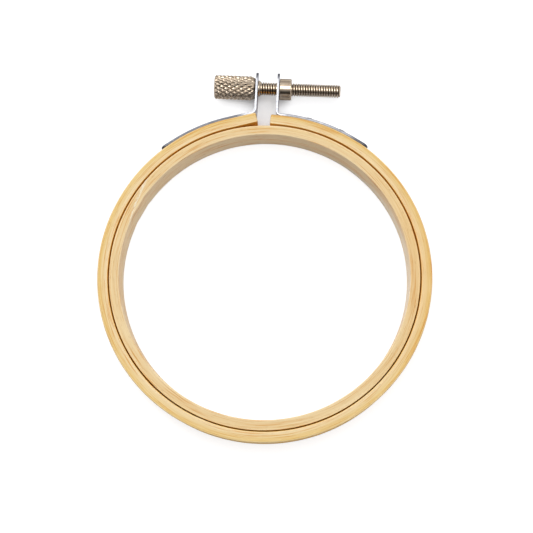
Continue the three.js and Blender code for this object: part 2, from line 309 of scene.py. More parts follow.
def bamboo(
    name, wall, bands, inner_side, outer_side, seed, warm, length, strip_shadow_start=None, painted_wash=None, scarf=None
):
    """Bent bamboo. The mesh's "fibre" holds millimetres along the strip, across its wall from the inside,
    and up. The cut faces run through the bands of colour from the inside to the outside, paler at the
    rounded edges, partly worn and partly by a painted highlight where the rounding catches light. The two
    bent sides have colours of their own, and the inner one can take painted light that washes it pale, most
    at its foot and less and less along from a start. Over these lie streaks that are long along the fibres
    and thin across them, a few dark hairlines, short flecks where fibre bundles come out, and one warmer
    stretch. The outer top edge can carry a painted shadow line where a bracket's strip shades it, from a
    place on to the end. Across a scarf joint the grain is broken, and pale splinters stand along the glue
    line."""
    wood = Finish(name, Specular_IOR_Level=0.22)
    place, along, across, up = wood.attribute("fibre")
    share = across / wall
    if scarf is not None:
        joint = 1 - along / scarf - share
        along = along + joint.math("GREATER_THAN", 0.0) * length
        place = wood.vector(along, across, up)
    wander = wood.noise(wood.stretched(place, (0.03, 0.0, 0.2)), 1.0, 1.0)
    grained = wood.vector(along, across + (wander - 0.5) * 1.2, up)

    def streaks(reach, width, height, detail=2.0, rough=0.55, moved=0.0):
        scaled = wood.stretched(grained, (1 / reach, 1 / width, 1 / height), (seed + moved, moved, seed))
        return wood.noise(scaled, 1.0, detail, rough)

    broad = streaks(34, 0.8, 1.8, 1.0)
    middle = streaks(17, 0.38, 0.7, moved=7.3)
    fine = streaks(9, 0.2, 0.3, 2.0, 0.65, moved=3.1)
    patch = wood.noise(wood.stretched(place, (0.05, 0.3, 0.2), (seed, 0, 0)), 1.0, 2.0)

    base = wood.ramp(share, bands)
    # Painted highlight and wear: the rounded top edges are paler, partly worn and partly lit where the
    # rounding catches light.
    rubbed_and_highlit = (share.between(0.16, 0.06) * 0.6 + share.between(0.84, 0.92)) * up.between(8.3, 8.9)
    base = wood.mix(rubbed_and_highlit * 0.55, base, srgb(251, 226, 178))
    # Painted light: the inner side is paler towards its foot all round, and much paler over a stretch that
    # fades out along from the given start, where the light washes it out.
    if painted_wash is not None:
        start, reach = painted_wash
        sunk = (along - start) / reach + up / RING_HEIGHT
        pale = sunk.between(1.35, 0.75) * along.between(start - 25, start - 5)
        inner_side = wood.mix(up.between(4.0, 0.0) * 0.3, inner_side, srgb(247, 240, 228))
        inner_side = wood.mix(pale * 0.85, inner_side, srgb(255, 249, 238))
    base = wood.mix(share.between(0.05, 0.03), base, inner_side)
    base = wood.mix(share.between(0.955, 0.975), base, outer_side)
    tone = (broad - 0.5) * 0.5 + (middle - 0.5) * 1.15 + (fine - 0.5) * 1.4 + (patch - 0.5) * 0.5
    dark = wood.mix((tone * 1.7).between(0.0, 0.75), base, srgb(236, 198, 140), "MULTIPLY")
    light = wood.mix((tone * -1.7).between(0.05, 0.75) * 0.5, dark, srgb(250, 229, 184))
    hairline = streaks(26, 0.07, 0.5, 1.0, moved=21.7).between(0.68, 0.76)
    fleck = streaks(2.2, 0.11, 0.16, 1.0, moved=11.9).between(0.68, 0.76)
    marked = wood.mix(hairline * 0.35 + fleck * 0.45, light, srgb(170, 112, 52))
    marked = wood.mix(near(along, warm) * 0.35, marked, srgb(250, 226, 180), "MULTIPLY")
    # Painted shadow: a dark line on the outer top edge where the bracket's strip shades it, from the given
    # place to the end.
    if strip_shadow_start is not None:
        strip_shadow = along.between(strip_shadow_start, strip_shadow_start + 2) * share.between(0.91, 0.96) * up.between(8.1, 8.5)
        marked = wood.mix(strip_shadow * (0.5 + broad * 0.5), marked, srgb(112, 88, 66))
    splinter = fleck
    if scarf is not None:
        within = joint.math("ABSOLUTE").between(0.2, 0.04) * up.between(8.5, 8.9)
        splinter = streaks(1.3, 0.22, 0.4, 1.0, moved=5.0).between(0.46, 0.56) * within
        marked = wood.mix(within * 0.4, marked, srgb(236, 212, 170))
        marked = wood.mix(splinter * 0.8, marked, srgb(253, 244, 222))
    wood.feed(Base_Color=marked)
    wood.feed(Roughness=0.55 + (fine - 0.5) * 0.3 + (broad - 0.5) * 0.15)
    ridges = fine * 0.6 + middle * 0.4
    pores = wood.bump(splinter - fleck - hairline * 0.7, 0.00004, 0.6)
    wood.feed(Normal=wood.bump(ridges, 0.00009, 0.5, pores))
    return wood.material


def plated(name, bright, dull, grime_and_shade, depth, roughness, lay, at_grazing=1.0):
    """Thin plating on steel. The mesh's "metal" holds millimetres along the lay of the tool marks,
    millimetres across it, and from 0 to 1 how much painted shade the place takes: in grooves and recesses,
    at cut edges, at the ear's tip and where the ear shades the knob. There the plating is darkened by the
    share called depth. Small dark spots and the tool marks darken it too. A film on the plating leaves the
    share at_grazing of what is mirrored at a slant."""
    metal = Finish(name, Metallic=1.0, Specular_Tint=(at_grazing, at_grazing, at_grazing, 1.0))
    _, along, across, deep = metal.attribute("metal")
    cloud = metal.noise(metal.object_place(), 420, 3.0, 0.6)
    spots = metal.noise(metal.object_place(), 1900, 2.0, 0.6)
    lines = metal.noise(metal.stretched(metal.vector(along, across, deep), (lay, 9.0, 0.0)), 1.0, 3.0, 0.6)
    worn = metal.mix(cloud.between(0.35, 0.68), bright, dull)
    lined = metal.mix((lines - 0.5).between(-0.2, 0.3) * 0.3, worn, grime_and_shade, "MULTIPLY")
    spotted = metal.mix(spots.between(0.62, 0.72) * 0.3, lined, grime_and_shade)
    # Painted shade: the plating darkens where the mesh marks grooves, recesses, cut edges and tips.
    shaded_plating = metal.mix(deep.between(0.1, 1.0) * depth, spotted, grime_and_shade)
    metal.feed(Base_Color=shaded_plating)
    metal.feed(Roughness=roughness + (cloud - 0.5) * 0.12 + (lines - 0.5) * 0.12 + deep * 0.2)
    metal.feed(Normal=metal.bump(lines * 0.7 + spots * 0.3, 0.00002, 0.3))
    return metal.material


# Meshes


def ripple(place, wavelengths, size, seed):
    """A smooth uneven line: the sum of a sine for each wavelength, each with its seeded phase and share."""
    random = np.random.default_rng(seed)
    waves = [
        random.uniform(0.5, 1.0) * np.sin(2 * np.pi * place / length + random.uniform(0, 2 * np.pi))
        for length in wavelengths
    ]
    return size * sum(waves) / len(waves)


def grid_faces(rows, columns, close_rows, close_columns):
    """Four corners for each cell of a grid of points numbered row by row."""
    row = np.arange(rows if close_rows else rows - 1)[:, None]
    column = np.arange(columns if close_columns else columns - 1)[None, :]
    below = row * columns
    above = (row + 1) % rows * columns
    beside = (column + 1) % columns
    corners = [below + column, below + beside, above + beside, above + column]
    return np.stack(np.broadcast_arrays(*corners), axis=-1).reshape(-1, 4)


class Shell:
    """Vertices, faces and one vector on each face corner, gathered before they become a mesh."""

    def __init__(self):
        self.points = []
        self.faces = []
        self.held = []
        self.count = 0

    def grid(self, points, values, close_rows=False, close_columns=True):
        """Adds a grid of points, rows by columns by 3. values is the grid of vectors that the corners hold,
        with one row or column more than points where the grid closes there."""
        rows, columns = points.shape[:2]
        faces = grid_faces(rows, columns, close_rows, close_columns)
        row, column = np.divmod(np.arange(len(faces)), columns if close_columns else columns - 1)
        corners = [
            values[row, column],
            values[row, column + 1],
            values[row + 1, column + 1],
            values[row + 1, column],
        ]
        self.faces.append(faces + self.count)
        self.held.append(np.stack(corners, axis=1))
        self.points.append(points.reshape(-1, 3))
        self.count += rows * columns

    def object(self, name, material, attribute, merge=1e-7):
        """The mesh, in metres, with its faces turned outwards. Points that lie on each other are made one,
        so that a row that shrinks to a point closes, and cells that have no width there lose a corner."""
        points = np.concatenate(self.points) * MM
        faces = np.concatenate(self.faces)
        values = np.concatenate(self.held)
        keys = np.round(points / merge).astype(np.int64)
        first, same = np.unique(keys, axis=0, return_index=True, return_inverse=True)[1:]
        faces = same.reshape(-1)[faces]
        keep = faces != np.roll(faces, -1, axis=1)
        sizes = keep.sum(axis=1)
        keep &= (sizes > 2)[:, None]
        sizes = sizes[sizes > 2]
        mesh = bpy.data.meshes.new(name)
        mesh.vertices.add(len(first))
        mesh.vertices.foreach_set("co", points[first].ravel())
        mesh.loops.add(int(sizes.sum()))
        mesh.loops.foreach_set("vertex_index", faces[keep])
        mesh.polygons.add(len(sizes))
        mesh.polygons.foreach_set("loop_start", np.concatenate([[0], np.cumsum(sizes)[:-1]]))
        mesh.update(calc_edges=True)
        layer = mesh.attributes.new(attribute, "FLOAT_VECTOR", "CORNER")
        layer.data.foreach_set("vector", values[keep].ravel().astype(np.float32))
        mesh.polygons.foreach_set("use_smooth", np.ones(len(sizes), bool))
        work = bmesh.new()
        work.from_mesh(mesh)
        bmesh.ops.recalc_face_normals(work, faces=work.faces)
        work.to_mesh(mesh)
        work.free()
        mesh.materials.append(material)
        made = bpy.data.objects.new(name, mesh)
        bpy.context.scene.collection.objects.link(made)
        return made


def shaded_flat_and_round(piece):
    """The last modifier: wide faces keep their own direction, and those between them are shaded round."""
    weighted = piece.modifiers.new("even shading", "WEIGHTED_NORMAL")
    weighted.keep_sharp = True
    weighted.weight = 90


def belongs(piece, body, nodes):
    """Ties a finished piece to its body, and hides the solids that it stands for."""
    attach(piece, body)
    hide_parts(*nodes)


# Wooden rings


def section(wall, height, outer_round, inner_round, steps=5, flats=(5, 9)):
    """A rectangle with round corners, anticlockwise from the top of its outer side: for each corner a
    quarter circle about its centre, then evenly spaced points along the side to the next. Gives across and
    up."""
    half = wall / 2
    rounding = np.array([outer_round, inner_round, inner_round, outer_round])
    corners = np.array([(half, height), (-half, height), (-half, 0), (half, 0)])
    centres = corners + rounding[:, None] * np.array([(-1, -1), (1, -1), (1, 1), (-1, 1)])
    turns = np.radians(np.arange(0, 360, 90)[:, None] + np.linspace(0, 90, steps))
    arcs = centres[:, None] + rounding[:, None, None] * np.stack([np.cos(turns), np.sin(turns)], axis=-1)
    pieces = []
    for index, arc in enumerate(arcs):
        share = np.linspace(0, 1, flats[index % 2] + 2)[1:-1, None]
        pieces += [arc, arc[-1] + share * (arcs[(index + 1) % 4][0] - arc[-1])]
    return np.concatenate(pieces)


def swept_ring(name, material, route, wall, outer_round, gap_outside, seed, shaved=None):
    """Rows of the section along the route, which gives the middle line's point and outward angle at a
    distance. The sides are uneven by a ripple that only goes inwards, but the side towards the other ring
    also stands out by a cosine round the hoop, most at PRESSED_AT, because the real rings press on each
    other there. A closed ring joins its last row to its first. A free end has rows drawn in by the edge
    rounding, a quarter circle deep, and then the end face, scaled to a point. shaved(distance) is how much
    is pared off the inner side there."""
    across, up = section(wall, RING_HEIGHT, outer_round, SHARP_ROUND).T
    length, closed, locate = route
    if closed:
        distance = np.linspace(0, length, RING_ROWS + 1)
        inset, shrink = np.zeros(len(distance)), np.ones(len(distance))
    else:
        depth = EDGE_ROUND * (1 - np.cos(np.linspace(0, np.pi / 2, 6)))
        drawn = EDGE_ROUND - np.sqrt(EDGE_ROUND**2 - (EDGE_ROUND - depth) ** 2)
        face = np.linspace(0, 1, 8)[:-1]
        body = np.linspace(EDGE_ROUND, length - EDGE_ROUND, RING_ROWS)[1:-1]
        distance = np.concatenate([face * 0, depth, body, length - depth[::-1], face * 0 + length])
        inset = np.concatenate([face * 0 + EDGE_ROUND, drawn, body * 0, drawn[::-1], face * 0 + EDGE_ROUND])
        shrink = np.concatenate([face, depth * 0 + 1, body * 0 + 1, depth * 0 + 1, face[::-1]])
    outside = ripple(distance, (61, 37, 23, 11, 5.3), 1.0, seed) - 1
    inside = ripple(distance, (53, 31, 17, 7.7, 4.1), 1.0, seed + 1) - 1
    middle, turn = locate(distance)
    pressed = GAP_CHANGE + GAP_SWING * np.cos(turn - PRESSED_AT)
    if gap_outside:
        outside, inside = outside * FACING_RIPPLE + pressed, inside * FREE_RIPPLE
    else:
        outside, inside = outside * FREE_RIPPLE, inside * FACING_RIPPLE + pressed
    if closed:
        blend = np.clip(distance / RIPPLE_JOIN, 0, 1)
        outside, inside = (line * blend + line[-1] * (1 - blend) for line in (outside, inside))
    if shaved is not None:
        inside = inside - shaved(distance)
    half = wall / 2
    uneven = np.where(across > 0, outside[:, None], -inside[:, None]) * np.abs(across) / half
    wide = (across + uneven) * (1 - inset[:, None] / half) * shrink[:, None]
    high = MIDDLE_HEIGHT + (up - MIDDLE_HEIGHT) * (1 - inset[:, None] / MIDDLE_HEIGHT) * shrink[:, None]
    outward = np.column_stack([np.sin(turn), np.cos(turn)])
    flat = middle[:, None, :] + wide[..., None] * outward[:, None, :]
    points = np.concatenate([flat, high[..., None]], axis=-1) + HOOP_CENTRE
    nominal = (across + half) * shrink[:, None] + half * (1 - shrink[:, None])
    fibre = np.stack([np.broadcast_to(distance[:, None], wide.shape), nominal, high], axis=-1)
    fibre = np.concatenate([fibre, fibre[:, :1]], axis=1)
    shell = Shell()
    shell.grid(points[:-1] if closed else points, fibre, close_rows=closed)
    piece = shell.object(name, material, "fibre")
    shaded_flat_and_round(piece)
    return piece


def flat_angle(opening, flat):
    """Where the ring's arc gives way to the straight stretch of its end, from the middle of the opening."""
    middle = OUTER_RADIUS - OUTER_WALL / 2
    return math.asin(opening / math.hypot(middle, flat)) + math.atan2(flat, middle)


def outer_route():
    """From the left end along its straight stretch, round the arc, and along the right end's stretch."""
    radius = OUTER_RADIUS - OUTER_WALL / 2
    left, right = flat_angle(LEFT_OPENING, LEFT_FLAT), flat_angle(RIGHT_OPENING, RIGHT_FLAT)
    arc = radius * (2 * np.pi - left - right)

    def locate(distance):
        turn = -left - np.clip(distance - LEFT_FLAT, 0, arc) / radius
        point = radius * np.column_stack([np.sin(turn), np.cos(turn)])
        beyond = np.minimum(distance - LEFT_FLAT, 0) + np.maximum(distance - LEFT_FLAT - arc, 0)
        tangent = np.column_stack([-np.cos(turn), np.sin(turn)])
        return point + beyond[:, None] * tangent, turn

    return LEFT_FLAT + arc + RIGHT_FLAT, False, locate


def inner_route():
    """Once round from the start of the scarf joint, anticlockwise seen from the front."""
    radius = INNER_RADIUS - INNER_WALL / 2

    def locate(distance):
        turn = SCARF_START - distance / radius
        return radius * np.column_stack([np.sin(turn), np.cos(turn)]), turn

    return 2 * np.pi * radius, True, locate


def shaved_joint(distance):
    """The joint is pared with a few flat strokes: deepest at each corner between two of them, nothing
    midway."""
    corners = np.array(SCARF_CORNERS)
    ring = inner_route()[0]
    before = SHAVE_FADE - corners[0]
    distance = (distance + before) % ring - before
    stroke = np.clip(np.searchsorted(corners, distance) - 1, 0, len(corners) - 2)
    share = (distance - corners[stroke]) / (corners[stroke + 1] - corners[stroke])
    inside = (distance > corners[0]) & (distance < corners[-1])
    fade = np.clip(np.minimum(distance - corners[0], corners[-1] - distance) / SHAVE_FADE, 0, 1)
    return np.where(inside, SHAVE_DEPTH * (2 * share - 1) ** 2 * fade, 0)


# Brackets


def bracket_path(opening, flat, bend, sign):
    """The middle line of a bracket's sheet, laid out on the right: a straight tail, the arc round the ring,
    the straight end, the bend and the ear. Gives points, outward normals, lengths, where the bend starts
    among them, the ear's foot and direction, and its length. The tail's rows are closer where it narrows."""
    angle = flat_angle(opening, flat)

    def polar(distance, turn):
        return distance * np.stack([np.sin(turn), np.cos(turn)], axis=-1)

    beyond = TAIL_FLAT - np.array([0, 0.25, 0.5, 0.8, 1.2, 1.6, 2.2, 2.9, 3.6, 4.3])
    tail = polar(STRIP_MIDDLE, STRIP_ANGLE) + beyond[:, None] * polar(1, STRIP_ANGLE + np.pi / 2)
    turns = np.linspace(STRIP_ANGLE, angle, 60)
    arc = polar(STRIP_MIDDLE, turns)
    shift = sign * (EAR_SPAN + SHEET) / 2
    place = np.array([CLAMP[0] + shift * math.cos(SKEW), CLAMP[1] - shift * math.sin(SKEW)])
    place[0] *= sign
    up = np.array([sign * math.sin(SKEW), math.cos(SKEW)])
    inward, outward = polar(1, angle - np.pi / 2), polar(1, angle)
    rise = outward @ (place - polar(STRIP_MIDDLE, angle)) / (outward @ up)
    corner = place - rise * up
    turn = math.acos(inward @ up)
    centre = corner - bend * math.tan(turn / 2) * inward + bend * outward
    start = centre - bend * outward
    straight = arc[-1] + np.linspace(0, 1, 6)[1:-1, None] * (start - arc[-1])
    bends = angle + turn * np.linspace(0, 1, 9)
    curve = centre - bend * polar(1, bends)
    ear_length = (place - curve[-1]) @ up + EAR_REACH
    points = np.concatenate([tail, arc, straight, curve])
    normals = np.concatenate([
        np.tile(polar(1, STRIP_ANGLE), (len(tail), 1)),
        polar(1, turns),
        np.tile(outward, (len(straight), 1)),
        polar(1, bends),
    ])
    lengths = np.concatenate([[0], np.cumsum(np.linalg.norm(np.diff(points, axis=0), axis=1))])
    return points, normals, lengths, lengths[-len(curve)], curve[-1], up, ear_length


def weigh_free_edges(mesh, foot_height):
    """Bevel weights: 0.5 for the free edges of the strip and 1 for those of the ear, with an even change
    over the millimetre to each side of foot_height, measured from the hoop's centre towards the clamp."""
    ends = np.empty(len(mesh.edges) * 2, int)
    mesh.edges.foreach_get("vertices", ends)
    place = np.empty(len(mesh.vertices) * 3)
    mesh.vertices.foreach_get("co", place)
    reach = place.reshape(-1, 3)[ends.reshape(-1, 2), 1].mean(axis=1) / MM - HOOP_CENTRE[1]
    used = np.empty(len(mesh.loops), int)
    mesh.loops.foreach_get("edge_index", used)
    free = np.bincount(used, minlength=len(mesh.edges)) == 1
    weight = free * np.interp(reach, [foot_height - 1, foot_height + 1], [0.5, 1.0])
    mesh.attributes.new("bevel_weight_edge", "FLOAT", "EDGE").data.foreach_set("value", weight)


def bracket(side, material, opening, flat, bend, sign, hole, brad_height, edge_shade):
    """The sheet's middle surface, given a thickness and rounded edges. The strip is a grid of lengths by
    widths, narrowed at the tail by its corner circles and pressed in a little round the brads. The ear is a
    grid of rings between the hole's circle and the ear's outline, whose foot is the strip's last row of
    points. The cut edges are squarer along the strip and rounder on the ear. The last argument gives the
    painted shade on those edges along the strip, as lengths from the tail, or negative ones from the bend,
    and shares; the dents round the brads take a little painted shade too, and so does the ear's tip."""
    points, normals, lengths, bend_start, foot, up, ear_length = bracket_path(opening, flat, bend, sign)
    half = STRIP_WIDTH / 2
    into_corner = np.clip(TAIL_CORNER - lengths, 0, TAIL_CORNER)
    width = half - TAIL_CORNER + np.sqrt(TAIL_CORNER**2 - into_corner**2)
    share = np.concatenate([[-1], np.linspace(-0.9, 0.9, 15), [1]])
    turn = np.arctan2(points[:, 0], points[:, 1])
    dent = np.zeros((len(points), len(share)))
    for brad in BRAD_ANGLES:
        beside = (turn[:, None] - math.radians(brad)) * STRIP_MIDDLE
        above = width[:, None] * share + MIDDLE_HEIGHT - brad_height
        dent += np.exp(-(beside**2 + above**2) / DENT_REACH**2)
    at_edge = np.broadcast_to(np.abs(share) == 1, dent.shape) | (lengths[:, None] == 0)
    # Painted shade on the strip's cut edges by the given shares along it, and a little in the dents round
    # the brads.
    edge_shade_at, darkness = np.array(edge_shade, float).T
    edge_shade_at = np.where(edge_shade_at < 0, bend_start + edge_shade_at, edge_shade_at)
    dark = at_edge * np.interp(lengths, edge_shade_at, darkness)[:, None]
    flat_points = points[:, None, :] - DENT_DEPTH * dent[..., None] * normals[:, None, :]
    strip = np.concatenate([flat_points, (MIDDLE_HEIGHT + width[:, None] * share)[..., None]], axis=-1)
    along = np.broadcast_to(lengths[:, None], dent.shape)
    strip_marks = np.stack([along, width[:, None] * share, np.maximum(dark, 0.3 * dent)], axis=-1)

    hole_at = ear_length - EAR_REACH
    round_at = ear_length - half
    side_run = np.linspace(0, round_at, 9)[1:]
    arc = np.linspace(0, np.pi, 29)[1:-1]
    outline = np.concatenate([
        np.column_stack([share * 0, half * share]),
        np.column_stack([side_run, side_run * 0 + half]),
        np.column_stack([round_at + half * np.sin(arc), half * np.cos(arc)]),
        np.column_stack([side_run[::-1], side_run * 0 - half]),
    ])
    around = np.arctan2(outline[:, 1], outline[:, 0] - hole_at)
    circle = np.column_stack([hole_at + hole * np.cos(around), hole * np.sin(around)])
    ear = outline + (circle - outline) * np.array([0, 0.4, 0.72, 1])[:, None, None]
    ear_points = np.concatenate([foot + ear[..., :1] * up, MIDDLE_HEIGHT + ear[..., 1:]], axis=-1)
    # Painted shade at the ear's tip.
    tip = np.clip((ear[..., :1] - round_at) / half, 0, 1)
    ear_marks = np.concatenate([lengths[-1] + ear[..., :1], ear[..., 1:], np.clip(1.5 * tip, 0, 1)], axis=-1)
    ear_marks[1:, :, 2] = 0
    ear_marks = np.concatenate([ear_marks, ear_marks[:, :1]], axis=1)

    for grid in (strip, ear_points):
        grid[..., 0] *= sign
        grid += HOOP_CENTRE
    shell = Shell()
    shell.grid(strip, strip_marks, close_columns=False)
    shell.grid(ear_points, ear_marks)
    piece = shell.object(side + "_bracket_sheet", material, "metal", merge=2e-6)
    wall = piece.modifiers.new("sheet", "SOLIDIFY")
    wall.thickness = SHEET * MM
    wall.offset = 0
    wall.use_even_offset = True
    weigh_free_edges(piece.data, foot[1])
    edge = piece.modifiers.new("edges", "BEVEL")
    edge.width = CUT_EDGE_ROUND * MM
    edge.segments = 3
    edge.limit_method = "WEIGHT"
    shaded_flat_and_round(piece)
    belongs(piece, side + "_half", [side + "_bracket"])


# Turned pieces


def turned(profile, columns):
    """Along, radius and angle for rows of points in a circle, one row for each (along, radius) of the
    profile."""
    profile = np.asarray(profile, float)
    along = np.broadcast_to(profile[:, :1], (len(profile), columns))
    radius = np.broadcast_to(profile[:, 1:2], along.shape)
    return along, radius, np.linspace(0, 2 * np.pi, columns, endpoint=False)


def about_axis(along, radius, angle, heading):
    """Points at those places along, out from and round an axis that runs from the origin at a heading, an
    angle from +X towards +Y."""
    local = np.stack([along, radius * np.cos(angle), radius * np.sin(angle)], axis=-1)
    cosine, sine = math.cos(heading), math.sin(heading)
    return local @ np.array([[cosine, -sine, 0], [sine, cosine, 0], [0, 0, 1]]).T


def on_clamp(along, radius, angle):
    """Points at those places along, out from and round the screw's axis, in the part's frame."""
    return about_axis(along, radius, angle, -SKEW) + np.array([*CLAMP, MIDDLE_HEIGHT]) + HOOP_CENTRE


def round_marks(along, radius, angle, deep):
    """For tool marks that run round: length round the axis at a usual radius, length along the surface, and
    the share of painted shade that deep gives."""
    usual_radius = 3
    columns = along.shape[1]
    run = np.concatenate([[0], np.cumsum(np.hypot(np.diff(along[:, 0]), np.diff(radius[:, 0])))])
    around = np.broadcast_to(np.append(angle, 2 * np.pi) * usual_radius, (len(run), columns + 1))
    depth = np.concatenate([deep, deep[:, :1]], axis=1)
    return np.stack([around, np.broadcast_to(run[:, None], around.shape), depth], axis=-1)


def fillet(points, size, steps=4):
    """A profile whose inner corners are replaced by short quadratic curves that start size before each."""
    points = np.asarray(points, float)
    made = [points[0]]
    for before, corner, after in zip(points, points[1:], points[2:]):
        to, away = before - corner, after - corner
        reach_in = min(size, np.linalg.norm(to) * 0.49)
        reach_out = min(size, np.linalg.norm(away) * 0.49)
        start = corner + to / np.linalg.norm(to) * reach_in
        end = corner + away / np.linalg.norm(away) * reach_out
        share = np.linspace(0, 1, steps)[:, None]
        made.extend((1 - share) ** 2 * start + 2 * share * (1 - share) * corner + share**2 * end)
    made.append(points[-1])
    return np.array(made)


def knurled_head(shell):
    """A head on a plain neck. Its radius falls by the knurl's depth in two crossing sets of helical V
    grooves, which run out on its cone. Each set is deeper at one end."""
    knurl_start, cone_start = KNOB_END + KNOB_CHAMFER, HEAD_FACE - KNOB_TAPER
    rim = KNOB_RADIUS - KNOB_TAPER_DROP
    even = np.linspace(knurl_start + 0.05, cone_start - 0.05, 118)
    cone = np.linspace(cone_start, HEAD_FACE - 0.12, 26)
    profile = np.concatenate([
        fillet([(KNOB_END, 0), (KNOB_END, KNOB_RADIUS - 0.5), (knurl_start, KNOB_RADIUS - 0.04)], 0.15),
        np.column_stack([even, even * 0 + KNOB_RADIUS]),
        np.column_stack([cone, KNOB_RADIUS - KNOB_TAPER_DROP * ((cone - cone_start) / KNOB_TAPER) ** 1.5]),
        fillet([
            (HEAD_FACE - 0.06, rim + 0.02), (HEAD_FACE, rim - 0.1), (HEAD_FACE, THREAD_RADIUS),
            (COLLAR_END + 0.1, THREAD_RADIUS), (COLLAR_END + 0.1, 0),
        ], 0.06),
    ])
    along, radius, angle = turned(profile, 16 * KNURL_STARTS)
    phase = angle * KNURL_STARTS / (2 * np.pi)
    share = (along - knurl_start) / (HEAD_FACE - 0.5 - knurl_start)
    length = share * KNURL_LENGTHS

    def groove(place):
        return np.clip(1 - np.abs(place - np.round(place)) / 0.42, 0, 1)

    rising = groove(phase + length) * (0.6 + 0.4 * share)
    falling = groove(phase - length) * (1 - 0.2 * share)
    runs_in = np.clip((along - knurl_start + 0.12) / 0.25, 0, 1)
    runs_out = np.clip((HEAD_FACE - 0.25 - along) / 1.1, 0, 1)
    deep = np.maximum(rising, falling) * runs_in * runs_out * (radius > rim)
    cut = radius - KNURL_DEPTH * (1 - (1 - deep) ** 1.15)
    # Painted shade: darker deep in the knurl's grooves, and on the end of the cone, where the ear shades it.
    painted_shade = np.maximum(deep**2.2, np.clip((along - HEAD_FACE + 0.9) / 0.9, 0, 0.8))
    shell.grid(on_clamp(along, cut, angle), round_marks(along, radius, angle, painted_shade))


def threaded_rod(shell):
    """The radius falls from a flat crest to the root and back once a pitch, and the crest moves on by one
    pitch each turn. The tip has a chamfer."""
    rows = np.linspace(COLLAR_END + 0.02, SCREW_TIP, 32 * 16)
    sides = np.column_stack([rows, rows * 0 + THREAD_RADIUS])
    along, radius, angle = turned(np.concatenate([[(rows[0], 0)], sides, [(SCREW_TIP, 0)]]), 56)
    pitches = (along - COLLAR_END) / THREAD_PITCH - angle / (2 * np.pi)
    down = np.clip((2 * np.abs(pitches - np.round(pitches)) - 0.44) / 0.5, 0, 1)
    down = 0.5 * down + 0.5 * down * down * (3 - 2 * down)
    chamfer = THREAD_RADIUS - np.clip(along - (SCREW_TIP - TIP_CHAMFER), 0, TIP_CHAMFER)
    thread = np.where(radius > 0, np.minimum(THREAD_RADIUS - THREAD_DEPTH * down, chamfer), 0)
    # Painted shade towards the thread's roots.
    painted_shade = 0.85 * down**1.5 * (radius > 0)
    shell.grid(on_clamp(along, thread, angle), round_marks(along, radius, angle, painted_shade))


def thumb_screw(material):
    """The head, its neck and the rod are one piece."""
    shell = Shell()
    knurled_head(shell)
    threaded_rod(shell)
    piece = shell.object("thumb_screw_turned", material, "metal")
    shaded_flat_and_round(piece)
    belongs(piece, "screw", ["thumb_screw"])


def turned_piece(name, material, body, node, profile, deep):
    """A profile turned about the screw's axis and closed on itself, with a share of painted shade for each
    point.
    """
    along, radius, angle = turned(profile, 96)
    shell = Shell()
    marks = round_marks(along, radius, angle, np.broadcast_to(deep[:, None], along.shape))
    shell.grid(on_clamp(along, radius, angle), marks)
    piece = shell.object(name, material, "metal")
    shaded_flat_and_round(piece)
    belongs(piece, body, [node])


def retaining_collar(material):
    """A short cone that narrows away from the ear."""
    profile = fillet([
        (COLLAR_END, COLLAR_BORE), (COLLAR_START, COLLAR_BORE), (COLLAR_START, COLLAR_WIDE),
        (COLLAR_START + COLLAR_RIM, COLLAR_WIDE), (COLLAR_END, COLLAR_NARROW), (COLLAR_END, COLLAR_BORE),
    ], 0.05)
    clean = np.zeros(len(profile))
    turned_piece("retaining_collar_cone", material, "screw", "retaining_collar", profile, clean)


def clamp_nut(material):
    """A round nut on a spigot that fills the ear's hole, with grooves a pitch apart all down its bore."""
    spigot_end = EAR_SPAN / 2
    outside = fillet([
        (spigot_end, NUT_BORE + 0.1), (spigot_end, SPIGOT_RADIUS), (NUT_START, SPIGOT_RADIUS),
        (NUT_START, NUT_RADIUS - 0.1), (NUT_START + 0.15, NUT_RADIUS), (NUT_END - NUT_BEVEL, NUT_RADIUS),
        (NUT_END, NUT_RADIUS - NUT_BEVEL), (NUT_END, NUT_BORE + 0.25), (NUT_END - 0.25, NUT_BORE),
    ], 0.08)
    bore = np.linspace(NUT_END - 0.3, spigot_end + 0.2, 60)
    groove = NUT_GROOVE / 2 * (1 - np.cos((bore - NUT_END) / THREAD_PITCH * 2 * np.pi))
    profile = np.concatenate([outside, np.column_stack([bore, NUT_BORE + groove]), outside[:1]])
    # Painted shade all down the bore.
    deep = np.concatenate([np.zeros(len(outside)), np.full(len(bore) + 1, 0.9)])
    turned_piece("clamp_nut_turned", material, "right_half", "clamp_nut", profile, deep)


def brad(side, number, material, angle, height):
    """A nail turned about its own axis and then laid pointing at the hoop's axis. Its head is a flat rim
    under a low dome, dinted a little by the hammer on four sides."""
    foot = OUTER_RADIUS + SEAT + SHEET + SEAT
    tip = OUTER_RADIUS - BRAD_DEPTH
    edge = BRAD_HEAD_RADIUS - BRAD_BEVEL
    rim = foot + BRAD_RIM_HEIGHT
    dome = np.linspace(0, np.pi / 2, 7)[1:]
    profile = np.concatenate([
        [(tip, 0), (tip + BRAD_POINT, BRAD_SHANK), (foot, BRAD_SHANK), (foot, edge)],
        [(foot + BRAD_BEVEL, BRAD_HEAD_RADIUS), (foot + 0.2, BRAD_HEAD_RADIUS), (rim, edge)],
        np.column_stack([rim + (BRAD_HEAD_HEIGHT - BRAD_RIM_HEIGHT) * np.sin(dome), edge * np.cos(dome)]),
    ])
    profile[-1, 1] = 0
    out, radius, turn = turned(profile, 40)
    out = out - BRAD_DINT * np.abs(np.cos(turn * 2 + height)) * (out > foot + 0.3) * radius
    points = about_axis(out, radius, turn, math.pi / 2 - angle) + np.array([0, 0, height]) + HOOP_CENTRE
    # Painted shade under the head and down the shank.
    deep = np.clip((foot + 0.35 - out) / 0.15, 0, 0.75)
    shell = Shell()
    shell.grid(points, round_marks(out, radius, turn, deep))
    node = f"{side}_brad_{number}"
    piece = shell.object(node + "_nail", material, "metal")
    shaded_flat_and_round(piece)
    belongs(piece, side + "_half", [node])


# The hoop


